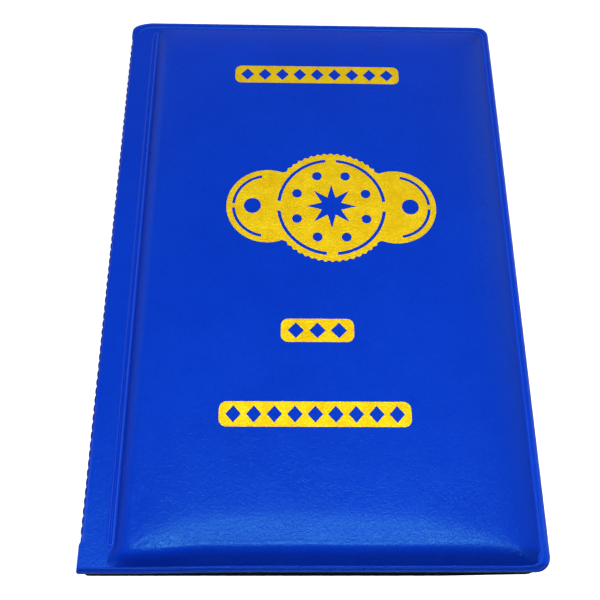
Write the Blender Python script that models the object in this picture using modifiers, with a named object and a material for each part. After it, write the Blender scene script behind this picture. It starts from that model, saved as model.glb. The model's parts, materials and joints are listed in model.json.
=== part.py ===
"""Pocket coin album with padded vinyl covers, ten clear pocket pages and a ribbed spine.

Frame: metres, +Z up, +Y towards the head of the album, spine on the -X side.
The origin is under the middle of the closed album, on the surface it lies on.
"""

import math

import bmesh
import bpy
from mathutils import Vector

MM = 0.001

# Overall size
WIDTH = 122.0 * MM
LENGTH = 178.0 * MM
HALF_W = WIDTH / 2
HALF_L = LENGTH / 2

# Build-up of one cover, measured outwards from its inner face
LINER_T = 0.35 * MM
FLANGE_TOP = 1.25 * MM
SKIN_T = 0.6 * MM
BOARD_Z = (0.5 * MM, 1.5 * MM)
FOAM_Z = (1.6 * MM, 2.95 * MM)
COVER_T = 3.65 * MM

# Page stack
PAGES = 10
PAGE_PITCH = 0.8 * MM
SHEET_T = 0.2 * MM
FILM_GAP = 0.1 * MM
FILM_T = 0.18 * MM
STUB_T = 0.5 * MM
GAP = 0.3 * MM
PAGE_T = SHEET_T + FILM_GAP + FILM_T
STACK_BASE = COVER_T + 0.72 * MM
FRONT_INNER = STACK_BASE + (PAGES - 1) * PAGE_PITCH + PAGE_T + GAP
CLOSED_T = FRONT_INNER + COVER_T

# Hinge line between the spine strip and the padded panel
HINGE_X = -HALF_W + 8.4 * MM
HINGE_GAP = 0.3 * MM
RIB_H = 0.6 * MM
RIB_W = 0.8 * MM
RIB_END = 7.4 * MM
HINGE_Z = FRONT_INNER + FLANGE_TOP + RIB_H + 0.05 * MM

# Padded panel
PANEL_LEFT = HINGE_X + HINGE_GAP
PAD_FOOT = 2.3 * MM
PAD_FOOT_LEFT = 1.5 * MM
PAD_ROLL = 5.3 * MM
PAD_ROLL_LEFT = 3.5 * MM
CORNER_R = 4.5 * MM

# Spine
SPINE_LIP = 1.4 * MM
RIB_PITCH = 2.5 * MM
RIB_DEPTH = 0.4 * MM
RIBBED_HALF = HALF_L - 8.0 * MM

# Creases of the pages: each one lies a little further out and lower than the one above
CREASE_OUT = 3.0 * MM
CREASE_STEP_X = 0.5 * MM
CREASE_STEP_Z = 0.5 * MM
PAGE_HALF_L = HALF_L - 2.0 * MM
PAGE_RIGHT = HALF_W - 2.5 * MM
POCKET_COLUMNS = 3
POCKET_ROWS = 4
POCKET_MARGIN = 2.0 * MM
MOUTH_H = 1.2 * MM

# Foil decoration on the front cover
FOIL_T = 0.1 * MM
FOIL_GAP = 0.1 * MM
EMBLEM_X = 5.7 * MM
EMBLEM_Y = 16.1 * MM
COIN_R = 18.8 * MM
SIDE_COIN_R = 12.5 * MM
SIDE_COIN_X = 19.5 * MM
BAND_H = 7.0 * MM
BANDS = (
    ("front_foil_band_top", 1.8 * MM, 65.6 * MM, 53.8 * MM, 9),
    ("front_foil_band_middle", 1.0 * MM, -24.2 * MM, 20.9 * MM, 3),
    ("front_foil_band_bottom", 0.2 * MM, -48.5 * MM, 52.6 * MM, 9),
)


def clear_scene():
    for ob in list(bpy.data.objects):
        bpy.data.objects.remove(ob, do_unlink=True)


def collection(name):
    col = bpy.data.collections.new(name)
    bpy.context.scene.collection.children.link(col)
    return col


def material(name, colour, roughness, metallic=0.0, alpha=1.0):
    mat = bpy.data.materials.new(name)
    mat.use_nodes = True
    shader = mat.node_tree.nodes["Principled BSDF"]
    shader.inputs["Base Color"].default_value = (*colour, 1.0)
    shader.inputs["Roughness"].default_value = roughness
    shader.inputs["Metallic"].default_value = metallic
    shader.inputs["Alpha"].default_value = alpha
    return mat


LOOKS = {
    "vinyl": ((0.003, 0.052, 0.56), 0.38),
    "liner": ((0.001, 0.014, 0.15), 0.5),
    "foam": ((0.80, 0.79, 0.74), 0.95),
    "board": ((0.45, 0.40, 0.33), 0.9),
    "clear": ((0.90, 0.94, 0.97), 0.12),
    "foil": ((0.85, 0.55, 0.03), 0.35),
}


def finish(ob, look, pivot=None):
    """Give the object its own material and hang it on its pivot, keeping its place."""
    colour, roughness = LOOKS[look]
    metallic = 1.0 if look == "foil" else 0.0
    alpha = 0.45 if look == "clear" else 1.0
    mat = material(ob.name + "_material", colour, roughness, metallic, alpha)
    ob.data.materials.append(mat)
    if pivot is not None:
        ob.parent = pivot
        ob.location = ob.location - pivot.location
    return ob


def pivot_at(name, x, z):
    empty = bpy.data.objects.new(name, None)
    empty.empty_display_size = 0.01
    empty.location = (x, 0.0, z)
    ALBUM.objects.link(empty)
    return empty


def corner_outline(x0, x1, y0, y1, radii, steps):
    """Rounded rectangle, anticlockwise from the lower left; radii is (left, right)."""
    left, right = radii
    corners = (
        (x0 + left, y0 + left, left, 180.0),
        (x1 - right, y0 + right, right, 270.0),
        (x1 - right, y1 - right, right, 0.0),
        (x0 + left, y1 - left, left, 90.0),
    )
    points = []
    for cx, cy, r, start in corners:
        for k in range(steps + 1):
            a = math.radians(start + 90.0 * k / steps)
            points.append((cx + r * math.cos(a), cy + r * math.sin(a)))
    return points


def circle_outline(cx, cy, r, count, turn=0.0):
    angles = [turn + 2.0 * math.pi * k / count for k in range(count)]
    return [(cx + r * math.cos(a), cy + r * math.sin(a)) for a in angles]


def slab(name, outlines, z0, z1):
    """A flat plate: a filled 2D curve, later outlines being its holes."""
    curve = bpy.data.curves.new(name, "CURVE")
    curve.dimensions = "2D"
    curve.fill_mode = "BOTH"
    curve.extrude = (z1 - z0) / 2
    for points in outlines:
        spline = curve.splines.new("POLY")
        spline.points.add(len(points) - 1)
        for point, (x, y) in zip(spline.points, points):
            point.co = (x, y, 0.0, 1.0)
        spline.use_cyclic_u = True
    ob = bpy.data.objects.new(name, curve)
    ob.location = (0.0, 0.0, (z0 + z1) / 2)
    ALBUM.objects.link(ob)
    return ob


def plate(name, x0, x1, half_y, z0, z1, radii=(0.0004, 0.0004), steps=2):
    return slab(name, [corner_outline(x0, x1, -half_y, half_y, radii, steps)], z0, z1)


def mesh_object(name, bm, target):
    mesh = bpy.data.meshes.new(name)
    bm.to_mesh(mesh)
    bm.free()
    ob = bpy.data.objects.new(name, mesh)
    target.objects.link(ob)
    return ob


def bridge(bm, first, second):
    count = len(first)
    for k in range(count):
        n = (k + 1) % count
        bm.faces.new((first[k], first[n], second[n], second[k]))


def side_z(inner, z):
    """Height of a level of the front cover, or of the back one when inner is its mirror."""
    return FRONT_INNER + z if inner == "front" else COVER_T - z


def panel_rings():
    """Outlines of the padded skin from its edge to its flat top: (right, left, z, z left)."""
    rings = [
        (0.0, 0.0, FLANGE_TOP - 0.05 * MM, FLANGE_TOP),
        (0.4 * MM, 0.25 * MM, FLANGE_TOP, FLANGE_TOP),
        (0.75 * MM, 0.5 * MM, FLANGE_TOP + 0.2 * MM, FLANGE_TOP),
        (1.3 * MM, 0.8 * MM, FLANGE_TOP, FLANGE_TOP),
        (2.0 * MM, 1.2 * MM, FLANGE_TOP - 0.1 * MM, FLANGE_TOP),
    ]
    for k in range(6):
        t = (k / 5) ** 0.7
        z = FLANGE_TOP + (COVER_T - FLANGE_TOP) * (1.0 - (1.0 - t) ** 1.5)
        rings.append((PAD_FOOT + PAD_ROLL * t, PAD_FOOT_LEFT + PAD_ROLL_LEFT * t, z, z))
    return rings


def rib_bar(name, side, x):
    """Rounded bar that raises one line of the hinge rib out of the vinyl."""
    sunk = 0.3 * MM
    height = RIB_H + sunk
    bm = bmesh.new()
    bmesh.ops.create_cube(bm, size=1.0)
    bmesh.ops.scale(bm, vec=(RIB_W, LENGTH - 2 * RIB_END, height), verts=bm.verts)
    middle = FLANGE_TOP - sunk + height / 2
    bmesh.ops.translate(bm, vec=(x, 0.0, side_z(side, middle)), verts=bm.verts)
    ob = mesh_object(name, bm, TOOLS)
    ob.hide_render = True
    ob.display_type = "WIRE"
    bevel = ob.modifiers.new("round", "BEVEL")
    bevel.width = 0.25 * MM
    bevel.segments = 2
    return ob


def add_rib(ob, side, x):
    union = ob.modifiers.new("rib", "BOOLEAN")
    union.operation = "UNION"
    union.object = rib_bar(ob.name + "_rib_tool", side, x)


def padded_skin(side, pivot):
    """Vinyl skin: welded flange with a bead, a rolled edge and a flat padded face."""
    bm = bmesh.new()
    loops = []
    for k, (inset, inset_left, z, z_left) in enumerate(panel_rings()):
        radius = max(CORNER_R - 0.6 * inset, 2.2 * MM)
        radius_left = 0.4 * MM + min(k, 8) * 0.25 * MM
        outline = corner_outline(
            PANEL_LEFT + inset_left,
            HALF_W - inset,
            -HALF_L + inset,
            HALF_L - inset,
            (radius_left, radius),
            4,
        )
        near_left = PANEL_LEFT + inset_left + 0.5 * radius_left
        loops.append(
            [
                bm.verts.new((x, y, side_z(side, z_left if x < near_left else z)))
                for x, y in outline
            ]
        )
    for outer, inner in zip(loops, loops[1:]):
        bridge(bm, outer, inner)
    bm.faces.new(loops[-1])
    if side == "back":
        bmesh.ops.reverse_faces(bm, faces=bm.faces)
    ob = mesh_object(side + "_skin", bm, ALBUM)
    shell = ob.modifiers.new("vinyl", "SOLIDIFY")
    shell.thickness = SKIN_T
    shell.offset = -1.0
    shell.use_even_offset = True
    add_rib(ob, side, HINGE_X + 0.35 * MM + RIB_W / 2)
    ob.data.shade_smooth()
    ob.data.set_sharp_from_angle(angle=math.radians(35.0))
    return finish(ob, "vinyl", pivot)


def cover(side):
    """One padded cover: skin, foam, board and liner, all turning on its hinge rib."""
    axis_z = HINGE_Z if side == "front" else CLOSED_T - HINGE_Z
    pivot = pivot_at(side + "_cover_pivot", HINGE_X, axis_z)
    padded_skin(side, pivot)
    for name, look, levels, inset, inset_left in (
        ("foam", "foam", FOAM_Z, PAD_ROLL + 0.2 * MM, PAD_ROLL_LEFT + 0.2 * MM),
        ("board", "board", BOARD_Z, 2.4 * MM, 1.8 * MM),
    ):
        z0, z1 = sorted(side_z(side, level) for level in levels)
        ob = plate(
            side + "_" + name,
            PANEL_LEFT + PAD_FOOT_LEFT + inset_left,
            HALF_W - PAD_FOOT - inset,
            HALF_L - PAD_FOOT - inset,
            z0,
            z1,
            (2.0 * MM, 2.0 * MM),
        )
        finish(ob, look, pivot)
    z0, z1 = sorted((side_z(side, 0.0), side_z(side, LINER_T)))
    liner = plate(
        side + "_liner", PANEL_LEFT, HALF_W, HALF_L, z0, z1, (0.4 * MM, CORNER_R), 4
    )
    finish(liner, "liner", pivot)
    return pivot


def spine_strip(side):
    """Flat welded strip between the spine and the hinge rib: skin and liner."""
    x0 = -HALF_W + SPINE_LIP + GAP
    x1 = HINGE_X - HINGE_GAP
    levels = (side_z(side, LINER_T + 0.1 * MM), side_z(side, FLANGE_TOP))
    curve_ob = plate(side + "_strip_tool", x0, x1, HALF_L, *sorted(levels))
    bpy.context.view_layer.update()
    graph = bpy.context.evaluated_depsgraph_get()
    mesh = bpy.data.meshes.new_from_object(curve_ob.evaluated_get(graph))
    bm = bmesh.new()
    bm.from_mesh(mesh)
    bmesh.ops.remove_doubles(bm, verts=bm.verts, dist=1e-6)
    skin = mesh_object(side + "_strip_skin", bm, ALBUM)
    skin.location = curve_ob.location
    bpy.data.objects.remove(curve_ob, do_unlink=True)
    bpy.data.meshes.remove(mesh)
    add_rib(skin, side, HINGE_X - 0.35 * MM - RIB_W / 2)
    finish(skin, "vinyl")
    levels = (side_z(side, 0.0), side_z(side, LINER_T))
    finish(plate(side + "_strip_liner", x0, x1, HALF_L, *sorted(levels)), "liner")


def spine():
    """Spine skin: a C section from strip to strip with fine cross ribs along its middle."""
    z0 = COVER_T - FLANGE_TOP
    z1 = CLOSED_T - z0
    lip = -HALF_W + SPINE_LIP
    section = [
        (lip, z1, 0.0, 0.2),
        (-HALF_W + 0.7 * MM, z1, 0.3, 0.9),
        (-HALF_W + 0.2 * MM, z1 - 0.4 * MM, 0.8, 0.5),
        (-HALF_W, z1 - 1.2 * MM, 1.0, 0.0),
    ]
    lower = [(x, CLOSED_T - z, nx, -nz) for x, z, nx, nz in reversed(section)]
    stations = [-HALF_L, -RIBBED_HALF - RIB_PITCH / 2]
    count = int(2 * RIBBED_HALF / RIB_PITCH)
    start = -count * RIB_PITCH / 2
    stations += [start + k * RIB_PITCH / 2 for k in range(2 * count + 1)]
    stations += [RIBBED_HALF + RIB_PITCH / 2, HALF_L]
    bm = bmesh.new()
    rows = []
    for k, y in enumerate(stations):
        plain = k < 2 or k >= len(stations) - 2
        depth = 0.0 if plain else (0.1 * MM if k % 2 else 0.1 * MM + RIB_DEPTH)
        rows.append(
            [
                bm.verts.new((x + depth * nx, y, z - depth * nz))
                for x, z, nx, nz in section + lower
            ]
        )
    for row, following in zip(rows, rows[1:]):
        for k in range(len(row) - 1):
            bm.faces.new((row[k], following[k], following[k + 1], row[k + 1]))
    ob = mesh_object("spine_skin", bm, ALBUM)
    shell = ob.modifiers.new("vinyl", "SOLIDIFY")
    shell.thickness = 0.5 * MM
    shell.offset = -1.0
    finish(ob, "vinyl")


def pocket_mouths(x0, x1):
    """Slit openings of the pockets, one near the head of each."""
    wide = (x1 - x0) / POCKET_COLUMNS
    tall = 2 * (PAGE_HALF_L - POCKET_MARGIN) / POCKET_ROWS
    holes = []
    for column in range(POCKET_COLUMNS):
        for row in range(POCKET_ROWS):
            left = x0 + column * wide + POCKET_MARGIN
            top = PAGE_HALF_L - POCKET_MARGIN - row * tall - 2.0 * MM
            right = left + wide - 2 * POCKET_MARGIN
            low = top - MOUTH_H
            holes.append([(left, low), (right, low), (right, top), (left, top)])
    return holes


def page(number):
    """One leaf: bound stub, clear back sheet and the pocket film welded on it."""
    name = f"page_{number:02d}"
    below = number - 1
    base = STACK_BASE + (PAGES - number) * PAGE_PITCH
    axis_x = HINGE_X + below * CREASE_STEP_X
    axis_z = HINGE_Z - below * CREASE_STEP_Z
    crease = axis_x + CREASE_OUT
    stub = plate(
        name + "_stub",
        -HALF_W + 1.4 * MM,
        crease - 2 * GAP,
        PAGE_HALF_L,
        base,
        base + STUB_T,
    )
    finish(stub, "clear")
    pivot = pivot_at(name + "_pivot", axis_x, axis_z)
    sheet = plate(
        name + "_sheet",
        crease,
        PAGE_RIGHT,
        PAGE_HALF_L,
        base,
        base + SHEET_T,
        (0.4 * MM, 2.0 * MM),
    )
    finish(sheet, "clear", pivot)
    film_left = HINGE_X + CREASE_OUT + PAGES * CREASE_STEP_X
    film_right = PAGE_RIGHT - 1.0 * MM
    outline = corner_outline(
        film_left,
        film_right,
        -PAGE_HALF_L + 0.5 * MM,
        PAGE_HALF_L - 0.5 * MM,
        (1.0 * MM, 1.0 * MM),
        1,
    )
    z0 = base + SHEET_T + FILM_GAP
    holes = pocket_mouths(film_left, film_right)
    film = slab(name + "_pockets", [outline, *holes], z0, z0 + FILM_T)
    finish(film, "clear", pivot)


def coins_outline(count):
    """Outline of a large coin between two smaller ones, seen from the large one's centre."""
    points = []
    for k in range(count):
        a = 2.0 * math.pi * k / count
        reeded = COIN_R - (0.5 * MM if k % 2 else 0.0)
        across = SIDE_COIN_X * abs(math.sin(a))
        reach = 0.0
        if across < SIDE_COIN_R:
            reach = SIDE_COIN_X * abs(math.cos(a))
            reach += math.sqrt(SIDE_COIN_R**2 - across**2)
        r = max(reeded, reach)
        points.append((EMBLEM_X + r * math.cos(a), EMBLEM_Y + r * math.sin(a)))
    return points


def arc_slot(cx, cy, r0, r1, start, end, steps):
    """Closed outline of a slot that follows part of a circle; angles in degrees."""
    angles = [math.radians(start + (end - start) * k / steps) for k in range(steps + 1)]
    outer = [(cx + r1 * math.cos(a), cy + r1 * math.sin(a)) for a in angles]
    inner = [(cx + r0 * math.cos(a), cy + r0 * math.sin(a)) for a in reversed(angles)]
    return outer + inner


def star_outline(cx, cy, r0, r1, points):
    outline = []
    for k in range(2 * points):
        r = r1 if k % 2 == 0 else r0
        a = math.pi / 2 + math.pi * k / points
        outline.append((cx + r * math.cos(a), cy + r * math.sin(a)))
    return outline


def foil(pivot):
    """Gold decoration: three coins between bands pierced with lozenges."""
    z0 = CLOSED_T + FOIL_GAP
    outlines = [coins_outline(112)]
    for k in range(4):
        start = 90.0 * k + 6.0
        outlines.append(
            arc_slot(
                EMBLEM_X,
                EMBLEM_Y,
                COIN_R - 3.2 * MM,
                COIN_R - 2.2 * MM,
                start,
                start + 78.0,
                8,
            )
        )
    for k in range(8):
        a = math.radians(45.0 * k + 22.5)
        x = EMBLEM_X + 11.4 * MM * math.cos(a)
        y = EMBLEM_Y + 11.4 * MM * math.sin(a)
        outlines.append(circle_outline(x, y, 1.5 * MM, 8))
    outlines.append(star_outline(EMBLEM_X, EMBLEM_Y, 3.2 * MM, 7.6 * MM, 8))
    for sign in (-1, 1):
        cx = EMBLEM_X + sign * SIDE_COIN_X
        turn = 0.0 if sign > 0 else 180.0
        for span in ((-80.0, -4.0), (4.0, 80.0)):
            outlines.append(
                arc_slot(
                    cx,
                    EMBLEM_Y,
                    SIDE_COIN_R - 2.6 * MM,
                    SIDE_COIN_R - 1.7 * MM,
                    turn + span[0],
                    turn + span[1],
                    6,
                )
            )
        outlines.append(circle_outline(cx + sign * 4.6 * MM, EMBLEM_Y, 2.6 * MM, 12))
    emblem = slab("front_foil_emblem", outlines, z0, z0 + FOIL_T)
    finish(emblem, "foil", pivot)
    for name, x, y, width, count in BANDS:
        half = width / 2
        bar = corner_outline(
            x - half,
            x + half,
            y - BAND_H / 2,
            y + BAND_H / 2,
            (BAND_H * 0.3, BAND_H * 0.3),
            3,
        )
        pitch = width / (count + 0.4)
        outlines = [bar]
        for k in range(count):
            cx = x + (k - (count - 1) / 2) * pitch
            wide = pitch * 0.38
            tall = BAND_H * 0.34
            outlines.append(
                [(cx - wide, y), (cx, y - tall), (cx + wide, y), (cx, y + tall)]
            )
        finish(slab(name, outlines, z0, z0 + FOIL_T), "foil", pivot)


clear_scene()
ALBUM = collection("coin_album")
TOOLS = collection("coin_album_tools")
spine()
spine_strip("front")
spine_strip("back")
front_pivot = cover("front")
cover("back")
for page_number in range(1, PAGES + 1):
    page(page_number)
foil(front_pivot)
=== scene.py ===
"""Pocket coin album: padded blue vinyl covers, ribbed spine, gold foil and clear pocket pages."""

import json
import math

import bmesh
import bpy
from mathutils import Euler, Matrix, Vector, noise
from mathutils.bvhtree import BVHTree


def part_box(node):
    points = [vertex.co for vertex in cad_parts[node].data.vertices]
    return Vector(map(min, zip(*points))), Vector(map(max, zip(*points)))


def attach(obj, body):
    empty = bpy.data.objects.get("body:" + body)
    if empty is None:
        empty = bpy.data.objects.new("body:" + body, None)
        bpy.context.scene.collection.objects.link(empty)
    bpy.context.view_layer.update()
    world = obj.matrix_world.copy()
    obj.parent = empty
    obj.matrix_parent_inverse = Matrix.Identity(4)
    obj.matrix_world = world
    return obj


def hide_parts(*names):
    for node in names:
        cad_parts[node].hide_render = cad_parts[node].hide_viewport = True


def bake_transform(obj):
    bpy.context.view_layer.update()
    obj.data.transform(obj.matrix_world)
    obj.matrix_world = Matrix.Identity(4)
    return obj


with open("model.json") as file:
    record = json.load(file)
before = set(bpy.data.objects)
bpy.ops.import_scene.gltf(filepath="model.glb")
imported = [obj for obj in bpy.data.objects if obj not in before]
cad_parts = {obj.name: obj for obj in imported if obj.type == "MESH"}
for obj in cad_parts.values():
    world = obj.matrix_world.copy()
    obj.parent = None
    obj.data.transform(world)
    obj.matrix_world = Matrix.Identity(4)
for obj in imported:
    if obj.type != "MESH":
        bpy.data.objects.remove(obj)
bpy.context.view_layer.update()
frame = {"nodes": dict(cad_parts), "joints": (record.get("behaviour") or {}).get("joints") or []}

MM = 0.001
PAGES = 10
JOINTS = {j["name"]: j for j in frame["joints"]}
HINGE_X = JOINTS["front_cover_hinge"]["pos_m"][0]

# Levels and outline of the covers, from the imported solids
SKIN_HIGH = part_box("front_skin")[1]
LINER_LOW, LINER_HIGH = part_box("front_liner")
INNER_Z = LINER_LOW.z
LINER_T = LINER_HIGH.z - LINER_LOW.z
COVER_T = SKIN_HIGH.z - INNER_Z
CAD_PAD_H = 2.4 * MM
FLANGE = COVER_T - CAD_PAD_H
RIGHT = SKIN_HIGH.x
HALF_L = SKIN_HIGH.y
OUTER_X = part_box("spine_skin")[0].x
LEFT = OUTER_X + 0.5 * MM

# Features of the pressed vinyl. Each side of the pad: where it starts, how far it runs
# straight up, and over what distance it then levels out
PAD_H = {"front": 2.8 * MM, "back": 2.4 * MM}
PAD_FOOT = (2.4 * MM, 6.6 * MM, 3.0 * MM)
PAD_HEAD = (2.4 * MM, 0.4 * MM, 8.0 * MM)
PAD_RIGHT = (2.5 * MM, 0.2 * MM, 6.0 * MM)
PAD_LEFT = (0.75 * MM, 1.4 * MM, 1.8 * MM)
FOOT_SQUEEZE = 0.62
FOOT_BOW = 0.4 * MM
CORNER = 8.0 * MM
RIB_X = HINGE_X - 0.35 * MM
RIB_HALF = 0.64 * MM
RIB_FOOT_Y = -HALF_L + 6.6 * MM
RIB_HEAD_Y = HALF_L - 5.0 * MM
RIBBED = HALF_L - 8.1 * MM
SKIN_T = 0.6 * MM
FOIL_LIFT = 0.035 * MM
FOIL_T = 0.03 * MM

# Radii of the cover's rounded corners across and along, by the side of the spine and of the foot
FORE_HEAD = (3.6 * MM, 3.6 * MM)
FORE_FOOT = (4.0 * MM, 4.0 * MM)
SPINE_HEAD = (6.6 * MM, 3.6 * MM)
SPINE_FOOT = (0.5 * MM, 0.5 * MM)

# Swelling of the vinyl over the foam: how far a point may move, and from which share of the
# pad's height up it is free
SWELL_CAP = 0.22 * MM
SWELL_FROM, SWELL_FREE = 0.8, 0.95
SWELL_PRESSURE = 4.0
SWELL_STEPS = 20

# Outer surface of each finished cover, on which the foil is stamped
SURFACE = {}


# ---------------------------------------------------------------- materials


class Nodes:
    """Short way to write a node material."""

    def __init__(self, name):
        self.mat = bpy.data.materials.new(name)
        self.mat.use_nodes = True
        self.tree = self.mat.node_tree
        self.shader = self.tree.nodes["Principled BSDF"]
        self.at = self.add("ShaderNodeTexCoord").outputs["Object"]

    def add(self, kind, **settings):
        node = self.tree.nodes.new(kind)
        for key, value in settings.items():
            setattr(node, key, value)
        return node

    def put(self, socket, value):
        if hasattr(value, "is_linked"):
            self.tree.links.new(value, socket)
        else:
            socket.default_value = value

    def noise(self, scale, detail=3.0, rough=0.5, distortion=0.0, at=None):
        node = self.add("ShaderNodeTexNoise")
        self.put(node.inputs["Vector"], at or self.at)
        self.put(node.inputs["Scale"], scale)
        self.put(node.inputs["Detail"], detail)
        self.put(node.inputs["Roughness"], rough)
        self.put(node.inputs["Distortion"], distortion)
        return node.outputs["Fac"]

    def attribute(self, name):
        return self.add("ShaderNodeAttribute", attribute_name=name).outputs["Fac"]

    def cells(self, scale, feature="F1", at=None):
        node = self.add("ShaderNodeTexVoronoi", feature=feature)
        self.put(node.inputs["Vector"], at or self.at)
        self.put(node.inputs["Scale"], scale)
        return node.outputs["Distance"]

    def ramp(self, value, low, high, to_low=0.0, to_high=1.0):
        node = self.add("ShaderNodeMapRange")
        self.put(node.inputs["Value"], value)
        for key, number in (
            ("From Min", low),
            ("From Max", high),
            ("To Min", to_low),
            ("To Max", to_high),
        ):
            self.put(node.inputs[key], number)
        return node.outputs["Result"]

    def math(self, operation, a, b=0.0):
        node = self.add("ShaderNodeMath", operation=operation)
        self.put(node.inputs[0], a)
        self.put(node.inputs[1], b)
        return node.outputs["Value"]

    def mix(self, amount, a, b):
        node = self.add("ShaderNodeMix", data_type="RGBA")
        self.put(node.inputs["Factor"], amount)
        for socket, value in ((node.inputs[6], a), (node.inputs[7], b)):
            self.put(socket, value if hasattr(value, "is_linked") else (*value, 1.0))
        return node.outputs[2]

    def warped(self, scale, amount):
        """Object coordinates pushed about by a noise, for organic cells."""
        node = self.add("ShaderNodeTexNoise")
        self.put(node.inputs["Vector"], self.at)
        self.put(node.inputs["Scale"], scale)
        self.put(node.inputs["Detail"], 2.0)
        shift = self.add("ShaderNodeVectorMath", operation="MULTIPLY_ADD")
        self.put(shift.inputs[0], node.outputs["Color"])
        self.put(shift.inputs[1], (amount, amount, amount))
        self.put(shift.inputs[2], self.at)
        return shift.outputs["Vector"]

    def bump(self, height, strength, distance, normal=None):
        node = self.add("ShaderNodeBump")
        self.put(node.inputs["Strength"], strength)
        self.put(node.inputs["Distance"], distance)
        self.put(node.inputs["Height"], height)
        if normal is not None:
            self.put(node.inputs["Normal"], normal)
        return node.outputs["Normal"]

    def done(self, colour, roughness, normal=None, **values):
        self.put(self.shader.inputs["Base Color"], colour)
        self.put(self.shader.inputs["Roughness"], roughness)
        if normal is not None:
            self.put(self.shader.inputs["Normal"], normal)
        for key, value in values.items():
            self.put(self.shader.inputs[key.replace("_", " ")], value)
        return self.mat


def vinyl(name, dark_tone_and_painted_shade, bright, grain, low_rough, high_rough):
    """Soft PVC with a pressed leather grain: fine creases between pebbles."""
    n = Nodes(name)
    wrinkles = n.noise(780.0, 3.0, 0.55, 0.4, n.warped(420.0, 0.0008))
    wrinkles = n.math("ABSOLUTE", n.math("SUBTRACT", wrinkles, 0.5))
    crease = n.ramp(wrinkles, 0.0, 0.09)
    pebbles = n.cells(1500.0, "SMOOTH_F1", n.warped(700.0, 0.0009))
    fine = n.noise(4200.0, 2.0, 0.6)
    height = n.math("ADD", n.math("MULTIPLY", crease, 0.5), n.math("MULTIPLY", fine, 0.15))
    height = n.math("SUBTRACT", height, n.math("MULTIPLY", pebbles, 0.5))
    waves = n.noise(60.0, 2.0, 0.5)
    normal = n.bump(waves, 0.05, 0.003)
    normal = n.bump(height, grain, 0.00012, normal)
    tone = n.noise(38.0, 4.0, 0.55)
    # The tone is also darker along the grain's creases, where the bump sinks: painted shade in
    # the creases.
    tone = n.math("ADD", n.math("MULTIPLY", tone, 0.75), n.math("MULTIPLY", crease, 0.25))
    colour = n.mix(n.ramp(tone, 0.3, 0.8), dark_tone_and_painted_shade, bright)
    # Painted shade: as the vertex's painted shade amount rises to 1 the colour moves to a darker
    # navy, and from 1 to 2 it moves on to near black, where the reflection is also turned down.
    painted_shade_navy = (0.0001, 0.12 * dark_tone_and_painted_shade[1], 0.28 * dark_tone_and_painted_shade[2])
    pale = (0.02, 2.4 * bright[1], 1.25 * bright[2])
    colour = n.mix(n.attribute("dark_tone_and_painted_shade"), colour, painted_shade_navy)
    painted_shade_black = (0.0001, 0.0006, 0.006)
    colour = n.mix(n.ramp(n.attribute("dark_tone_and_painted_shade"), 1.0, 2.0), colour, painted_shade_black)
    # Painted highlight: by the vertex's painted highlight amount the colour moves to a paler blue
    # (pale) on the raised beads, weld ridge, spine hem and rib crest.
    colour = n.mix(n.ramp(n.attribute("painted_highlight"), 0.2, 1.0, 0.0, 0.75), colour, pale)
    rough = n.ramp(n.noise(150.0, 4.0, 0.6), 0.3, 0.7, low_rough, high_rough)
    gloss = n.ramp(n.attribute("dark_tone_and_painted_shade"), 1.0, 2.0, 0.24, 0.03)
    return n.done(
        colour, rough, normal, Specular_IOR_Level=gloss, Specular_Tint=(0.18, 0.86, 0.85, 1.0)
    )


def gold_foil():
    """Hot-stamped foil: metal over the grain, with a dull, rubbed-looking film in places."""
    n = Nodes("gold_foil")
    at = n.warped(700.0, 0.0009)
    creases = n.cells(900.0, "DISTANCE_TO_EDGE", at)
    grain = n.noise(2600.0, 3.0, 0.6)
    height = n.math("ADD", n.ramp(creases, 0.0, 0.12), n.math("MULTIPLY", grain, 0.8))
    normal = n.bump(height, 0.45, 0.0001)
    tone = n.noise(180.0, 5.0, 0.65)
    colour = n.mix(n.ramp(tone, 0.3, 0.75), (0.76, 0.49, 0.002), (0.92, 0.69, 0.015))
    dull = n.ramp(n.noise(1500.0, 2.0, 0.7), 0.56, 0.7)
    colour = n.mix(n.math("MULTIPLY", dull, 0.5), colour, (0.58, 0.36, 0.01))
    rough = n.ramp(n.noise(420.0, 3.0, 0.6), 0.3, 0.7, 0.42, 0.62)
    return n.done(
        colour, rough, normal, Metallic=0.6, Specular_Tint=(1.0, 0.75, 0.15, 1.0)
    )


def clear_film(name, alpha, tint, rough):
    """Clear soft PVC: faint blue tint, slight haze and handling marks."""
    n = Nodes(name)
    haze = n.noise(90.0, 4.0, 0.6)
    colour = n.mix(haze, tint, (0.93, 0.95, 0.97))
    scuffs = n.noise(900.0, 3.0, 0.7, 1.5)
    roughness = n.ramp(scuffs, 0.35, 0.75, rough, rough + 0.22)
    normal = n.bump(n.noise(140.0, 2.0, 0.5), 0.12, 0.0006)
    see = n.ramp(haze, 0.3, 0.7, alpha - 0.03, alpha + 0.03)
    return n.done(colour, roughness, normal, Alpha=see)


def foam_material():
    n = Nodes("pad_foam")
    pores = n.cells(900.0, "F1")
    # Darker at the pits of the pores, where the bump sinks: painted shade in the pores.
    colour = n.mix(n.ramp(pores, 0.0, 0.6), (0.45, 0.43, 0.36), (0.82, 0.80, 0.72))
    normal = n.bump(pores, 0.5, 0.0003)
    return n.done(colour, n.ramp(pores, 0.0, 0.6, 0.85, 1.0), normal)


def board_material():
    n = Nodes("grey_board")
    fibres = n.noise(600.0, 6.0, 0.7, 2.0)
    colour = n.mix(fibres, (0.30, 0.27, 0.22), (0.52, 0.47, 0.40))
    normal = n.bump(fibres, 0.3, 0.0002)
    return n.done(colour, n.ramp(fibres, 0.3, 0.7, 0.8, 0.95), normal)


COVER_VINYL = vinyl(
    "cover_vinyl", (0.0002, 0.023, 0.42), (0.0005, 0.031, 0.49), 0.34, 0.27, 0.33
)
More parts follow.
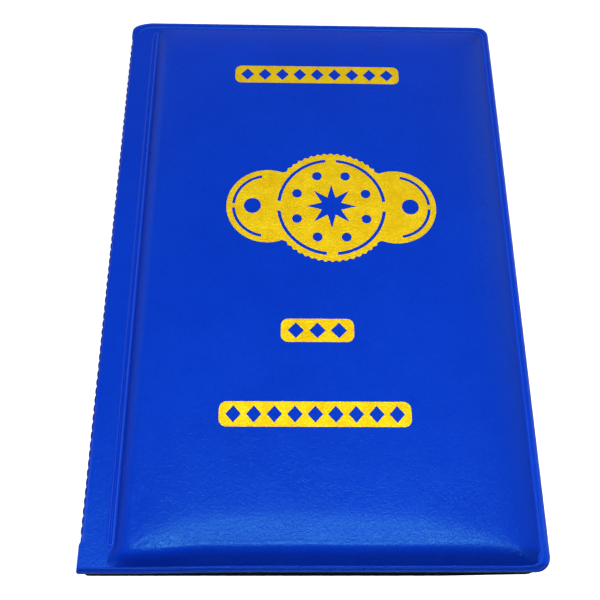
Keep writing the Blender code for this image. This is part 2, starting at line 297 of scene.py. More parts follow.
# The liner is a near-black navy: a dark liner colour, made this dark as painted shade for the gap
# between the covers.
LINER_VINYL = vinyl(
    "liner_vinyl", (0.0006, 0.009, 0.10), (0.0010, 0.013, 0.14), 0.2, 0.42, 0.56
)
FOIL = gold_foil()
FILM = clear_film("pocket_film", 0.20, (0.80, 0.88, 0.96), 0.08)
SHEET = clear_film("page_sheet", 0.22, (0.78, 0.87, 0.96), 0.12)
WELD = clear_film("page_weld", 0.50, (0.86, 0.90, 0.95), 0.35)
FOAM = foam_material()
BOARD = board_material()


# ---------------------------------------------------------------- mesh helpers


def link(name, bm, *materials):
    mesh = bpy.data.meshes.new(name)
    bm.to_mesh(mesh)
    bm.free()
    ob = bpy.data.objects.new(name, mesh)
    bpy.context.scene.collection.objects.link(ob)
    for mat in materials:
        mesh.materials.append(mat)
    mesh.shade_smooth()
    return ob


def apply_modifiers(ob):
    graph = bpy.context.evaluated_depsgraph_get()
    mesh = bpy.data.meshes.new_from_object(ob.evaluated_get(graph))
    ob.modifiers.clear()
    ob.data = mesh
    return ob


def solidify(ob, thickness, offset=-1.0):
    mod = ob.modifiers.new("thickness", "SOLIDIFY")
    mod.thickness = thickness
    mod.offset = offset
    return apply_modifiers(ob)


def spaced(start, end, step):
    """Even divisions from start to end, about a step apart, with both ends."""
    count = max(1, round(abs(end - start) / step))
    return [start + (end - start) * k / count for k in range(count + 1)]


def tidy_lines(values, gap=0.03 * MM):
    """Grid lines in order, without those that lie closer together than a gap."""
    lines = []
    for value in sorted(values):
        if not lines or value - lines[-1] > gap:
            lines.append(value)
    return lines


def smooth_step(value, low, high):
    t = max(0.0, min(1.0, (value - low) / (high - low)))
    return t * t * (3.0 - 2.0 * t)


def bell(x, centre, width):
    """Rounded bump of height 1."""
    return math.exp(-(((x - centre) / width) ** 2))


# ---------------------------------------------------------------- padded cover


def pad_share(inset, side):
    """Share of the pad's height reached at an inset: straight at first, then levelling out."""
    start, run, settle = side
    along = inset - start
    if along <= 0.0:
        return 0.0
    if along < run:
        return along / (run + settle)
    return (run + settle * (1.0 - math.exp((run - along) / settle))) / (run + settle)


def least(shares):
    """Rounded version of the smallest of some shares, equal to it where the others are 1."""
    if min(shares) < 0.02:
        return min(shares)
    return (sum(s**-4.0 for s in shares) - len(shares) + 1.0) ** -0.25


def rib_height(x, y):
    """Height of the hinge rib, a raised line that runs round a long narrow groove."""
    low = RIB_FOOT_Y + RIB_HALF
    high = RIB_HEAD_Y - RIB_HALF
    away = math.hypot(x - RIB_X, y - max(low, min(high, y)))
    t = max(-1.0, min(1.0, (x - RIB_X) / RIB_HALF))
    crest = (0.40 + 0.06 * t) * MM * bell(away, RIB_HALF, (0.28 + 0.07 * t) * MM)
    groove = 0.10 * MM * bell(away, 0.0, 0.35 * MM)
    return crest - groove


def relief(x, y, insets, pad_height):
    """Height of the pressed vinyl over the flange, and how much painted shade and painted
    highlight its colour gets there.

    insets are the distances to the fore edge, foot and head, that to the outline for the weld
    lines, and how strong these lines are.
    """
    fore, foot, head, edge, strength = insets
    bead = bell(edge, 0.72 * MM, 0.36 * MM) * strength
    ridge = bell(edge, 2.02 * MM, 0.17 * MM) * strength
    beside = smooth_step(RIBBED + 0.8 * MM - abs(y), 0.0, 1.2 * MM)
    hem = bell(x, LEFT + 0.42 * MM, 0.24 * MM) * beside
    rib = rib_height(x, y)
    height = 0.22 * MM * bead + 0.17 * MM * ridge + 0.10 * MM * hem + rib
    height -= 0.30 * MM * bell(edge, 0.0, 0.20 * MM)
    height -= 0.08 * MM * bell(edge, 1.5 * MM, 0.16 * MM) * strength
    height -= 0.06 * MM * bell(edge, 2.38 * MM, 0.16 * MM) * strength
    height -= 0.25 * MM * bell(x, LEFT, 0.16 * MM) * beside
    at_foot = smooth_step(-y, HALF_L - 7.4 * MM, HALF_L - 2.4 * MM)
    by_rib = pad_share((x - HINGE_X + 2.2 * MM * at_foot) * (1.0 - 0.4 * at_foot), PAD_LEFT)
    start = FOOT_SQUEEZE * PAD_FOOT[0]
    lower = 1.0 + 0.45 * (1.0 - smooth_step(x, HINGE_X + 2.0 * MM, HINGE_X + 26.0 * MM))
    raised = start + (foot - start) * (lower if foot > start else 1.0)
    by_foot = pad_share(raised / FOOT_SQUEEZE, PAD_FOOT)
    by_fore = pad_share(fore, PAD_RIGHT)
    share = by_rib * least((by_foot, by_fore, pad_share(head, PAD_HEAD)))
    slack = noise.noise(Vector((x * 34.0, y * 34.0, 0.7)))
    slack += 0.5 * noise.noise(Vector((x * 95.0, y * 95.0, 3.1)))
    height += (pad_height + 0.06 * MM * slack) * share
    # Painted shade: darker colour on the pad's walls at the foot, beside the rib and at the fore
    # edge, and on the flange along the foot. Above 1 it goes towards black at the very outline,
    # most of all at the foot.
    dark_tone_and_painted_shade = 0.65 * (1.0 - smooth_step(by_foot, 0.35, 1.0)) + 0.1 * (1.0 - by_foot)
    dark_tone_and_painted_shade *= 0.5 + 0.5 * smooth_step(by_rib, 0.3, 1.0)
    dark_tone_and_painted_shade = max(dark_tone_and_painted_shade, 0.45 * (1.0 - by_rib) ** 1.5, 0.40 * (1.0 - by_fore))
    dark_tone_and_painted_shade *= smooth_step(share, 0.0, 0.03)
    dark_tone_and_painted_shade = max(dark_tone_and_painted_shade, 0.55 * (1.0 - smooth_step(foot, 1.3 * MM, 1.6 * MM)))
    rim = 1.4 + 0.6 * (1.0 - smooth_step(foot, 0.5 * MM, 3.0 * MM))
    dark_tone_and_painted_shade = max(dark_tone_and_painted_shade, rim * (1.0 - smooth_step(edge, 0.08 * MM, 0.35 * MM)))
    # Painted highlight: paler colour on the bead along the outline (less at the foot), on the
    # inner weld ridge, on the spine's hem line (more towards the foot) and on the rib's crest.
    hem *= 0.15 + 0.55 * smooth_step(-y, 0.3 * HALF_L, 0.8 * HALF_L)
    at_edge = 0.35 + 0.3 * smooth_step(foot, MM, 6.0 * MM)
    painted_highlight = max(at_edge * bead, 0.8 * ridge, hem, min(1.0, max(0.0, rib / (0.4 * MM))))
    return height, dark_tone_and_painted_shade, painted_highlight


def corner_point(a, b, radii):
    """Where a point of a square corner patch goes so that its outer edge is rounded.

    a and b run from 0 at the inner corner to 1 at the outer edges.
    """
    m = max(a, b)
    if m <= 0.0:
        return 0.0, 0.0
    ra, rb = [min(m * 0.999, (r / CORNER) * (0.55 + 0.45 * m)) for r in radii]
    q = min(a, b) / m
    straight = 1.0 - (rb if a >= b else ra) / m
    if q <= straight:
        return (m, q * m) if a >= b else (q * m, m)
    turn = math.radians(45.0) * (q - straight) / (1.0 - straight)
    if a < b:
        turn = math.radians(90.0) - turn
    return m - ra + ra * math.cos(turn), m - rb + rb * math.sin(turn)


def place(x, y, side):
    """Point of the cover's outline for a point of the square grid, and its insets."""
    right = (x - (RIGHT - CORNER)) / CORNER
    left = ((LEFT + CORNER) - x) / CORNER
    head = (y - (HALF_L - CORNER)) / CORNER
    foot = ((-HALF_L + CORNER) - y) / CORNER
    px, py = x, y
    edge = min(RIGHT - x, (y + HALF_L) / FOOT_SQUEEZE, HALF_L - y)
    strength = 1.0
    near = None
    for across, along, sx, sy, radii in (
        (right, head, 1, 1, FORE_HEAD),
        (right, foot, 1, -1, FORE_FOOT),
        (left, head, -1, 1, SPINE_HEAD),
        (left, foot, -1, -1, SPINE_FOOT),
    ):
        if across > 0.0 and along > 0.0:
            a, b = corner_point(across, along, radii)
            px = (RIGHT - CORNER if sx > 0 else LEFT + CORNER) + sx * a * CORNER
            py = (HALF_L - CORNER if sy > 0 else -HALF_L + CORNER) + sy * b * CORNER
            turned = along / (across + along)
            squeeze = 1.0 + (FOOT_SQUEEZE - 1.0) * (turned if sy < 0 else 0.0)
            if sx > 0 or sy > 0:
                near = (1.0 - max(across, along)) * CORNER
                edge = near / squeeze
            if sx < 0 and sy > 0:
                strength = smooth_step(turned, 0.15, 0.6)
                near = None
    fore, low, high = RIGHT - px, py + HALF_L, HALF_L - py
    if near is not None:
        beside = min(low, high)
        apart = fore - beside
        soft = 0.25 * (CORNER - near)
        spread = abs(apart)
        if spread < soft:
            spread = apart * apart / (2.0 * soft) + soft / 2.0
        fore = near + (spread + apart) / 2.0
        beside = near + (spread - apart) / 2.0
        low, high = (beside, high) if low < high else (low, beside)
    flare = smooth_step(abs(y), RIBBED, RIBBED + 1.6 * MM)
    px -= (LEFT - OUTER_X) * flare * max(0.0, 1.0 - (x - LEFT) / (3.0 * MM))
    bow = 1.0 - smooth_step(x, RIGHT - 30.0 * MM, RIGHT)
    if side == "front":
        bow = smooth_step(-x, 15.0 * MM, 56.0 * MM)
    py -= FOOT_BOW * bow * (1.0 - smooth_step(low, 0.0, 9.0 * MM))
    return px, py, (fore, low, high, edge, strength)


EDGE_LINES = (
    [0.0, 0.08 * MM, 0.18 * MM]
    + spaced(0.28 * MM, 2.7 * MM, 0.11 * MM)
    + spaced(3.0 * MM, 8.0 * MM, 0.45 * MM)
)


def cover_lines():
    """Grid lines of a cover, close together where welds, rib and corners need them."""
    xs = [LEFT + k for k in spaced(0.0, 1.6 * MM, 0.12 * MM)]
    xs += spaced(LEFT + 2.0 * MM, HINGE_X - 1.9 * MM, 0.8 * MM)
    xs += spaced(HINGE_X - 1.6 * MM, HINGE_X + 3.0 * MM, 0.1 * MM)
    xs += spaced(HINGE_X + 3.3 * MM, HINGE_X + 9.0 * MM, 0.5 * MM)
    xs += spaced(HINGE_X + 11.0 * MM, RIGHT - 22 * MM, 2.4 * MM)
    xs += spaced(RIGHT - 20 * MM, RIGHT - 9 * MM, 1.1 * MM)
    xs += [RIGHT - e for e in EDGE_LINES]
    ys = [-HALF_L + e for e in EDGE_LINES] + [HALF_L - e for e in EDGE_LINES]
    ys += spaced(RIB_FOOT_Y - 0.6 * MM, RIB_FOOT_Y + 1.6 * MM, 0.2 * MM)
    ys += spaced(RIB_HEAD_Y - 1.6 * MM, RIB_HEAD_Y + 0.6 * MM, 0.2 * MM)
    ys += spaced(-HALF_L + 9 * MM, -HALF_L + 20 * MM, 0.8 * MM)
    ys += spaced(HALF_L - 20 * MM, HALF_L - 9 * MM, 1.1 * MM)
    ys += spaced(-HALF_L + 22 * MM, HALF_L - 22 * MM, 2.4 * MM)
    return tidy_lines(xs), tidy_lines(ys)


def swell(ob, free, side):
    """The vinyl over the foam swells under pressure as cloth, held at its welds and walls."""
    start = [vert.co.copy() for vert in ob.data.vertices]
    held = ob.vertex_groups.new(name="held")
    held.add([index for index, share in enumerate(free) if share == 0.0], 1.0, "REPLACE")
    cloth = ob.modifiers.new("swell", "CLOTH")
    cloth.settings.vertex_group_mass = "held"
    cloth.settings.effector_weights.gravity = 0.0
    cloth.settings.use_pressure = True
    cloth.settings.uniform_pressure_force = SWELL_PRESSURE
    cloth.point_cache.frame_start = 1
    cloth.point_cache.frame_end = SWELL_STEPS
    for step in range(1, SWELL_STEPS + 1):
        bpy.context.scene.frame_set(step)
    apply_modifiers(ob)
    ob.vertex_groups.clear()
    bpy.context.scene.frame_set(1)
    for vert, before, share in zip(ob.data.vertices, start, free):
        away = vert.co - before
        if away.length > 0.0:
            far = SWELL_CAP * math.tanh(away.length / SWELL_CAP) * share
            vert.co = before + away * (far / away.length)
        if side == "back":
            vert.co.z = max(vert.co.z, 0.0)


def cover_skin(side):
    """One pressed skin from the spine edge over the hinge rib to the fore edge."""
    xs, ys = cover_lines()
    bm = bmesh.new()
    painted_shade_layer = bm.verts.layers.float.new("dark_tone_and_painted_shade")
    painted_highlight_layer = bm.verts.layers.float.new("painted_highlight")
    grid, free = [], []
    for y0 in ys:
        row = []
        for x0 in xs:
            x, y, insets = place(x0, y0, side)
            z, dark_tone_and_painted_shade, painted_highlight = relief(x0, y0, insets, PAD_H[side])
            free.append(smooth_step(z / PAD_H[side], SWELL_FROM, SWELL_FREE))
            z = INNER_Z + FLANGE + z if side == "front" else COVER_T - FLANGE - z
            vert = bm.verts.new((x, y, z))
            vert[painted_shade_layer] = dark_tone_and_painted_shade
            vert[painted_highlight_layer] = painted_highlight
            row.append(vert)
        grid.append(row)
    for low, high in zip(grid, grid[1:]):
        for k in range(len(xs) - 1):
            loop = (low[k], low[k + 1], high[k + 1], high[k])
            bm.faces.new(loop if side == "front" else tuple(reversed(loop)))
    ob = link(side + "_cover_skin", bm, COVER_VINYL)
    swell(ob, free, side)
    SURFACE[side] = BVHTree.FromObject(ob, bpy.context.evaluated_depsgraph_get())
    solidify(ob, SKIN_T)
    ob.data.shade_smooth()
    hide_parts(side + "_skin", side + "_strip_skin")
    z = JOINTS[side + "_cover_hinge"]["pos_m"][2]
    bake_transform(ob)
    return ob


def cover_liner(side):
    """Inner sheet, welded to the skin all round, with the weld line pressed into it."""
    xs = [LEFT] + spaced(LEFT + 0.5 * MM, HINGE_X - 2.4 * MM, 1.2 * MM)
    xs += spaced(HINGE_X - 2.0 * MM, HINGE_X + 2.0 * MM, 0.2 * MM)
    xs += spaced(HINGE_X + 2.4 * MM, HINGE_X + 6.0 * MM, 0.6 * MM)
    xs += spaced(HINGE_X + 8.0 * MM, RIGHT - CORNER, 6 * MM)
    xs += [RIGHT - e for e in EDGE_LINES]
    ys = [-HALF_L + e for e in EDGE_LINES] + [HALF_L - e for e in EDGE_LINES]
    ys += spaced(-HALF_L + 12 * MM, HALF_L - 12 * MM, 7 * MM)
    xs, ys = tidy_lines(xs), tidy_lines(ys)
    bm = bmesh.new()
    painted_shade_layer = bm.verts.layers.float.new("dark_tone_and_painted_shade")
    grid = []
    for y0 in ys:
        row = []
        for x0 in xs:
            x, y, insets = place(x0, y0, side)
            press = 0.10 * MM * bell(insets[3], 1.9 * MM, 0.35 * MM)
            press += 0.08 * MM * bell(x, HINGE_X, 0.5 * MM)
            z = INNER_Z + press if side == "front" else COVER_T - press
            vert = bm.verts.new((x, y, z))
            # Painted shadow: the liner's colour turns to black along the foot edge, standing for
            # the dark gap between the covers.
            vert[painted_shade_layer] = 2.0 * (1.0 - smooth_step(insets[1], 0.9 * MM, 1.3 * MM))
            row.append(vert)
        grid.append(row)
    for low, high in zip(grid, grid[1:]):
        for k in range(len(xs) - 1):
            loop = (low[k], high[k], high[k + 1], low[k + 1])
            bm.faces.new(loop if side == "front" else tuple(reversed(loop)))
    ob = link(side + "_inner_liner", bm, LINER_VINYL)
    solidify(ob, LINER_T - 0.05 * MM)
    ob.data.shade_smooth()
    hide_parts(side + "_liner", side + "_strip_liner")
    z = JOINTS[side + "_cover_hinge"]["pos_m"][2]
    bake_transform(ob)
    return ob


def foam_pad(side):
    """Foam sheet under the skin, thinned out towards its edges where the skin is pulled down."""
    low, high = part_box(side + "_foam")
    xs = spaced(low.x, low.x + 6 * MM, MM) + spaced(low.x + 8 * MM, high.x - 14 * MM, 4 * MM)
    xs += spaced(high.x - 12 * MM, high.x, MM)
    ys = spaced(low.y, low.y + 12 * MM, MM) + spaced(high.y - 12 * MM, high.y, MM)
    ys = tidy_lines(ys + spaced(low.y + 14 * MM, high.y - 14 * MM, 5 * MM))
    base = high.z - COVER_T if side == "back" else low.z - INNER_Z
    base = abs(base)
    bm = bmesh.new()
    layers = []
    for top in (False, True):
        grid = []
        for y0 in ys:
            row = []
            for x0 in xs:
                x, y, insets = place(x0, y0, side)
                z = base
                if top:
                    rise = relief(x0, y0, insets, PAD_H[side])[0]
                    z = FLANGE + rise - SKIN_T - 0.12 * MM
                    z -= 0.4 * MM * (1.0 - rise / PAD_H[side])
                    z = max(z, base + 0.1 * MM)
                row.append(bm.verts.new((x, y, INNER_Z + z if side == "front" else COVER_T - z)))
            grid.append(row)
        layers.append(grid)
    bottom, top = layers
    for j in range(len(ys) - 1):
        for i in range(len(xs) - 1):
            for grid in layers:
                bm.faces.new((grid[j][i], grid[j][i + 1], grid[j + 1][i + 1], grid[j + 1][i]))
    last_x, last_y = len(xs) - 1, len(ys) - 1
    rim = [(0, i) for i in range(last_x)] + [(j, last_x) for j in range(last_y)]
    rim += [(last_y, i) for i in range(last_x, 0, -1)] + [(j, 0) for j in range(last_y, 0, -1)]
    for (j, i), (jj, ii) in zip(rim, rim[1:] + rim[:1]):
        bm.faces.new((bottom[j][i], bottom[jj][ii], top[jj][ii], top[j][i]))
    bmesh.ops.recalc_face_normals(bm, faces=bm.faces)
    ob = link(side + "_foam_pad", bm, FOAM)
    ob.data.set_sharp_from_angle(angle=math.radians(50.0))
    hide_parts(side + "_foam")
    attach(ob, side + "_cover")
    return ob


# ---------------------------------------------------------------- spine


def spine_wrap():
    """Ribbed strip round the edge of the binding, from under one cover to under the other."""
    top = INNER_Z + FLANGE
    middle = (COVER_T - FLANGE + top) / 2
    lip = ((0.90, -0.72), (0.52, -0.66), (0.34, -0.44), (0.16, -0.36), (0.03, -0.44))
    half = [(dx * MM, top + dz * MM) for dx, dz in lip]
    half += [(0.0, top - 0.7 * MM), (0.0, top - 1.6 * MM), (0.0, middle + 1.5 * MM)]
    section = half + [(dx, 2.0 * middle - z) for dx, z in reversed(half)]
    pitch = 2.5 * MM
    ribs = int(2.0 * RIBBED / pitch)
    end = ribs * pitch / 2.0
    ys = spaced(-end, end, pitch / 12)
    ys = [-HALF_L + 0.4 * MM, -end - 1.6 * MM, -end - 0.5 * MM] + ys
    ys += [end + 0.5 * MM, end + 1.6 * MM, HALF_L - 4.0 * MM]
    bm = bmesh.new()
    painted_shade_layer = bm.verts.layers.float.new("dark_tone_and_painted_shade")
    rows = []
    for y in ys:
        plain = min(1.0, max(0.0, (abs(y) - end + 0.4 * MM) / (1.6 * MM)))
        wave = abs(math.sin(math.pi * (y - end) / pitch)) ** 0.55
        sunk = (0.42 * MM * (1.0 - wave)) * (1.0 - plain) + 0.14 * MM * plain
        row = []
        for dx, z in section:
            share = max(0.0, 1.0 - dx / (0.5 * MM))
            drop = 0.35 * MM * plain * (1.0 if z > middle else -1.0)
            vert = bm.verts.new((OUTER_X + dx + sunk * share, y, z - drop))
            # Painted shade: the whole strip is darkened as a side turned from the light, and
            # darker still in the grooves between the ribs.
            vert[painted_shade_layer] = 0.45 + 0.5 * (1.0 - wave) * (1.0 - plain)
            row.append(vert)
        rows.append(row)
    for row, following in zip(rows, rows[1:]):
        for k in range(len(row) - 1):
            bm.faces.new((row[k], row[k + 1], following[k + 1], following[k]))
    bmesh.ops.recalc_face_normals(bm, faces=bm.faces)
    ob = link("spine_wrap", bm, COVER_VINYL)
    solidify(ob, 0.22 * MM, -1.0)
    ob.data.shade_smooth()
    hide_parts("spine_skin")
    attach(ob, "binding")
    return ob


# ---------------------------------------------------------------- pages


def bend_page(ob):
    """Bakes the placement of a leaf or film into its mesh; the page stays flat."""
    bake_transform(ob)


def page_leaf(number):
    """Clear leaf in one sheet, from its thick bound stub through the crease to the fore edge."""
    name = f"page_{number:02d}"
    stub_low, stub_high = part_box(name + "_stub")
    low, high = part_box(name + "_sheet")
    thick = high.z - low.z
    stub_t = stub_high.z - stub_low.z
    crease = low.x
    sections = [
        (stub_low.x, stub_t),
        (stub_high.x - 4.0 * MM, stub_t),
        (stub_high.x - 3.0 * MM, thick * 1.2),
    ]
    start = stub_high.x - 3.0 * MM
    sections += [(x, thick) for x in spaced(start + 0.8 * MM, crease + 9.0 * MM, 0.8 * MM)]
    far = high.x
    sections += [(x, thick) for x in spaced(crease + 12 * MM, far - 2 * MM, 12 * MM)]
    sections += [(far - 1.0 * MM, thick), (far - 0.3 * MM, thick), (far, thick)]
    trim = {far: 2.0 * MM, far - 0.3 * MM: 1.1 * MM, far - 1.0 * MM: 0.4 * MM}
    bm = bmesh.new()
    rows = []
    for x, t in sections:
        half = high.y - trim.get(x, 0.0)
        ys = spaced(-half, half, half / 8)
        row = [bm.verts.new((x, y, low.z)) for y in ys]
        row += [bm.verts.new((x, y, low.z + t)) for y in reversed(ys)]
        rows.append(row)
    for row, following in zip(rows, rows[1:]):
        count = len(row)
        for k in range(count):
            n = (k + 1) % count
            bm.faces.new((row[k], row[n], following[n], following[k]))
    bm.faces.new(list(reversed(rows[0])))
    bm.faces.new(rows[-1])
    bmesh.ops.recalc_face_normals(bm, faces=bm.faces)
    ob = link(name + "_leaf", bm, SHEET)
    ob.data.set_sharp_from_angle(angle=math.radians(40.0))
    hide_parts(name + "_stub", name + "_sheet")
    bend_page(ob)
    return ob


def page_film(number):
    """Film welded on the leaf in a grid, standing a little proud over each pocket."""
    name = f"page_{number:02d}"
    low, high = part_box(name + "_pockets")
    columns, rows = 3, 4
    wide = (high.x - low.x - 2 * MM) / columns
    tall = (high.y - low.y - 2 * MM) / rows
    weld = 0.9 * MM
    shares = (0.0, 0.03, 0.07, 0.15, 0.3, 0.5, 0.7, 0.85, 0.93, 0.97, 1.0)
    xs, ys = [low.x, high.x], [low.y, high.y]
    for k in range(columns):
        start = low.x + MM + k * wide + weld
        xs += [start + (wide - 2 * weld) * s for s in shares]
    for k in range(rows):
        start = low.y + MM + k * tall + weld
        inner = tall - 2 * weld
        ys += [start + inner * s for s in shares]
        ys += [start + inner - 2.4 * MM, start + inner - 3.6 * MM]
    xs, ys = tidy_lines(xs, 0.1 * MM), tidy_lines(ys, 0.1 * MM)

    def pocket(x, y):
        u = ((x - low.x - MM) % wide - weld) / (wide - 2 * weld)
        v = ((y - low.y - MM) % tall - weld) / (tall - 2 * weld)
        return u, v

    bm = bmesh.new()
    grid = []
    for y in ys:
        row = []
        for x in xs:
            u, v = pocket(x, y)
            rise = 0.0
            if 0.0 < u < 1.0 and 0.0 < v < 1.0:
                rise = (min(1.0, 9 * u, 9 * (1 - u)) * min(1.0, 9 * v, 9 * (1 - v))) ** 0.5
            z = low.z - 0.04 * MM + 0.16 * MM * rise
            row.append(bm.verts.new((x, y, z)))
        grid.append(row)
    for j in range(len(ys) - 1):
        for i in range(len(xs) - 1):
            u, v = pocket((xs[i] + xs[i + 1]) / 2, (ys[j] + ys[j + 1]) / 2)
            clear = 0.0 < u < 1.0 and 0.0 < v < 1.0
            from_top = (1.0 - v) * (tall - 2 * weld)
            if clear and 0.03 < u < 0.97 and 2.4 * MM < from_top < 3.6 * MM:
                continue
            face = bm.faces.new(
                (grid[j][i], grid[j][i + 1], grid[j + 1][i + 1], grid[j + 1][i])
            )
            face.material_index = 0 if clear else 1
    ob = link(name + "_film", bm, FILM, WELD)
    solidify(ob, 0.08 * MM, 1.0)
    ob.data.shade_smooth()
    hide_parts(name + "_pockets")
    bend_page(ob)
    return ob


# ---------------------------------------------------------------- foil


def stamped(name, outlines, centre):
    """Foil pressed on the padded skin: a flat outline with holes that follows the surface."""
    curve = bpy.data.curves.new(name, "CURVE")
    curve.dimensions = "2D"
    curve.fill_mode = "FRONT"
    for points in outlines:
        spline = curve.splines.new("POLY")
        spline.points.add(len(points) - 1)
        for point, (x, y) in zip(spline.points, points):
            point.co = (x + centre[0], y + centre[1], 0.0, 1.0)
        spline.use_cyclic_u = True
    guide = bpy.data.objects.new(name + "_outline", curve)
    bpy.context.scene.collection.objects.link(guide)
    bpy.context.view_layer.update()
    graph = bpy.context.evaluated_depsgraph_get()
    mesh = bpy.data.meshes.new_from_object(guide.evaluated_get(graph))
    bm = bmesh.new()
    bm.from_mesh(mesh)
    bpy.data.objects.remove(guide, do_unlink=True)
    bpy.data.curves.remove(curve)
    bpy.data.meshes.remove(mesh)
    bmesh.ops.remove_doubles(bm, verts=bm.verts, dist=1e-6)
    for axis, low, high in ((0, -40, 46), (1, -60, 76)):
        for k in range(low, high, 2):
            plane = Vector((0.0, 0.0, 0.0))
            plane[axis] = k * MM
            way = Vector((0.0, 0.0, 0.0))
            way[axis] = 1.0
            bmesh.ops.bisect_plane(
                bm,
                geom=bm.verts[:] + bm.edges[:] + bm.faces[:],
                dist=1e-7,
                plane_co=plane,
                plane_no=way,
            )
    for vert in bm.verts:
        above = Vector((vert.co.x, vert.co.y, 1.0))
        hit = SURFACE["front"].ray_cast(above, Vector((0.0, 0.0, -1.0)))[0]
        vert.co.z = hit.z + FOIL_LIFT
    bmesh.ops.recalc_face_normals(bm, faces=bm.faces)
    for face in bm.faces:
        if face.normal.z < 0.0:
            face.normal_flip()
    ob = link(name, bm, FOIL)
    solidify(ob, FOIL_T)
    ob.data.shade_smooth()
    ob.data.set_sharp_from_angle(angle=math.radians(40.0))
    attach(ob, "front_cover")
    return ob


def ring_points(cx, cy, r, count):
    return [
        (
            cx + r * math.cos(2 * math.pi * k / count),
            cy + r * math.sin(2 * math.pi * k / count),
        )
        for k in range(count)
    ]


def arc_slot(cx, cy, r0, r1, start, end, steps):
    angles = [math.radians(start + (end - start) * k / steps) for k in range(steps + 1)]
    outer = [(cx + r1 * math.cos(a), cy + r1 * math.sin(a)) for a in angles]
    inner = [(cx + r0 * math.cos(a), cy + r0 * math.sin(a)) for a in reversed(angles)]
    return outer + inner


def star_points(r0, r1, points):
    return [
        (
            (r0 if k % 2 else r1) * math.cos(math.pi / 2 + math.pi * k / points),
            (r0 if k % 2 else r1) * math.sin(math.pi / 2 + math.pi * k / points),
        )
        for k in range(2 * points)
    ]


def coins_outline(count, big, small, apart):
    """A large reeded coin between two smaller ones, as one outline."""
    points = []
    for k in range(count):
        a = 2.0 * math.pi * k / count
        r = big - 0.25 * MM + 0.25 * MM * math.cos(56 * a)
        across = apart * abs(math.sin(a))
        if across < small:
            r = max(r, apart * abs(math.cos(a)) + math.sqrt(small**2 - across**2))
        points.append((r * math.cos(a), r * math.sin(a)))
    return points


def foil_emblem():
    low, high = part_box("front_foil_emblem")
    centre = ((low.x + high.x) / 2, (low.y + high.y) / 2)
    big, small, apart = 18.8 * MM, 12.5 * MM, 19.5 * MM
    outlines = [coins_outline(448, big, small, apart)]
    for k in range(4):
        start = 90.0 * k + 6.0
        outlines.append(
            arc_slot(0, 0, big - 3.2 * MM, big - 2.2 * MM, start, start + 78.0, 32)
        )
    for k in range(8):
        a = math.radians(45.0 * k + 22.5)
        r = 11.4 * MM
        outlines.append(ring_points(r * math.cos(a), r * math.sin(a), 1.5 * MM, 28))
    outlines.append(star_points(3.2 * MM, 7.6 * MM, 8))
    for sign in (-1, 1):
        turn = 0.0 if sign > 0 else 180.0
        for span in ((-80.0, -4.0), (4.0, 80.0)):
            outlines.append(
                arc_slot(
                    sign * apart,
                    0,
                    small - 2.6 * MM,
                    small - 1.7 * MM,
                    turn + span[0],
                    turn + span[1],
                    24,
                )
            )
        outlines.append(ring_points(sign * (apart + 4.6 * MM), 0, 2.6 * MM, 40))
    ob = stamped("foil_coins", outlines, centre)
    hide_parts("front_foil_emblem")


def foil_band(node, count):
    low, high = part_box(node)
    centre = ((low.x + high.x) / 2, (low.y + high.y) / 2)
    half_w, half_h = (high.x - low.x) / 2, (high.y - low.y) / 2
    r = half_h * 0.6
    bar = []
    for sx, sy, start in ((1, -1, 270), (1, 1, 0), (-1, 1, 90), (-1, -1, 180)):
        for k in range(9):
            a = math.radians(start + 90.0 * k / 8)
            x = sx * (half_w - r) + r * math.cos(a)
            y = sy * (half_h - r) + r * math.sin(a)
            bar.append((x, y))
    outlines = [bar]
    pitch = 2 * half_w / (count + 0.4)
    for k in range(count):
        cx = (k - (count - 1) / 2) * pitch
        wide, tall = pitch * 0.38, half_h * 0.68
        outlines.append([(cx - wide, 0), (cx, -tall), (cx + wide, 0), (cx, tall)])
    ob = stamped(node.replace("front_", ""), outlines, centre)
    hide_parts(node)


# ---------------------------------------------------------------- build

for side in ("front", "back"):
    cover_skin(side)
    cover_liner(side)
    foam_pad(side)
spine_wrap()
for number in range(1, PAGES + 1):
    page_leaf(number)
    page_film(number)
foil_emblem()
foil_band("front_foil_band_top", 9)
foil_band("front_foil_band_middle", 3)
foil_band("front_foil_band_bottom", 9)
for side in ("front", "back"):
    mesh = frame["nodes"][side + "_board"].data
    mesh.materials.clear()
    mesh.materials.append(BOARD)

# ---------------------------------------------------------------- stage


FLOOR_GLOW = 0.35
FLOOR_SIZE = 4.0
FLOOR_DROP = 0.0002
CAMERA_LENS = 45.8
CAMERA_PLACE = (-0.0083, -0.0990, 0.2206)
CAMERA_TURN = (22.4, -1.19, -0.07)


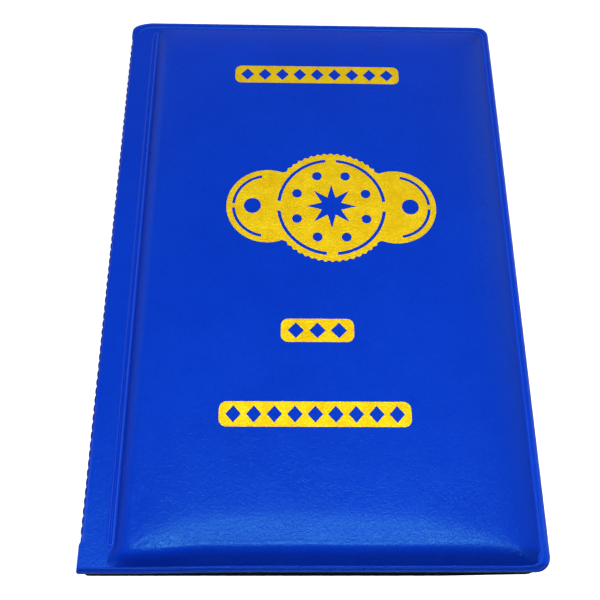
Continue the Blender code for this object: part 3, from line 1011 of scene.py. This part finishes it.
def floor():
    bm = bmesh.new()
    bmesh.ops.create_grid(bm, x_segments=4, y_segments=4, size=FLOOR_SIZE)
    n = Nodes("floor_paper")
    speck = n.noise(40.0, 3.0, 0.5)
    mat = n.done(n.mix(speck, (0.93, 0.93, 0.93), (0.95, 0.95, 0.95)), 0.9)
    n.put(n.shader.inputs["Emission Color"], (1.0, 1.0, 1.0, 1.0))
    n.put(n.shader.inputs["Emission Strength"], FLOOR_GLOW)
    ob = link("floor", bm, mat)
    ob.location.z = -FLOOR_DROP


def soft_light(name, where, aim, size, power):
    data = bpy.data.lights.new(name, "AREA")
    data.shape = "RECTANGLE"
    data.size, data.size_y = size
    data.energy = power
    ob = bpy.data.objects.new(name, data)
    ob.location = where
    way = Vector(aim) - Vector(where)
    ob.rotation_euler = way.to_track_quat("-Z", "Y").to_euler()
    bpy.context.scene.collection.objects.link(ob)


def studio():
    """Even pale room, darker towards the foot, by the direction that a ray leaves in."""
    world = bpy.data.worlds.new("studio")
    world.use_nodes = True
    tree = world.node_tree
    way = tree.nodes.new("ShaderNodeTexCoord")
    split = tree.nodes.new("ShaderNodeSeparateXYZ")
    shade = tree.nodes.new("ShaderNodeMapRange")
    tree.links.new(way.outputs["Generated"], split.inputs["Vector"])
    tree.links.new(split.outputs["Y"], shade.inputs["Value"])
    for key, number in (
        ("From Min", -0.6),
        ("From Max", -0.1),
        ("To Min", 0.15),
        ("To Max", 0.5),
    ):
        shade.inputs[key].default_value = number
    tree.links.new(shade.outputs["Result"], tree.nodes["Background"].inputs["Strength"])
    tree.nodes["Background"].inputs["Color"].default_value = (1.0, 1.0, 1.0, 1.0)
    bpy.context.scene.world = world


floor()
studio()
soft_light("overhead", (0.025, -0.162, 0.45), (0.025, -0.085, 0.0), (0.4, 0.05), 1.9)
soft_light("head_left", (-1.4, 0.9, 1.1), (0.0, 0.0, 0.0), (1.5, 1.2), 4.0)
soft_light("head_right", (1.4, 0.9, 1.1), (0.0, 0.0, 0.0), (1.5, 1.2), 4.0)
bpy.context.scene.view_settings.view_transform = "Standard"

camera_data = bpy.data.cameras.new("camera")
camera_data.sensor_width = 36.0
camera_data.lens = CAMERA_LENS
camera_data.clip_start = 0.01
camera = bpy.data.objects.new("camera", camera_data)
camera.location = CAMERA_PLACE
camera.rotation_euler = Euler([math.radians(turn) for turn in CAMERA_TURN], "XYZ")
bpy.context.scene.collection.objects.link(camera)
bpy.context.scene.camera = camera
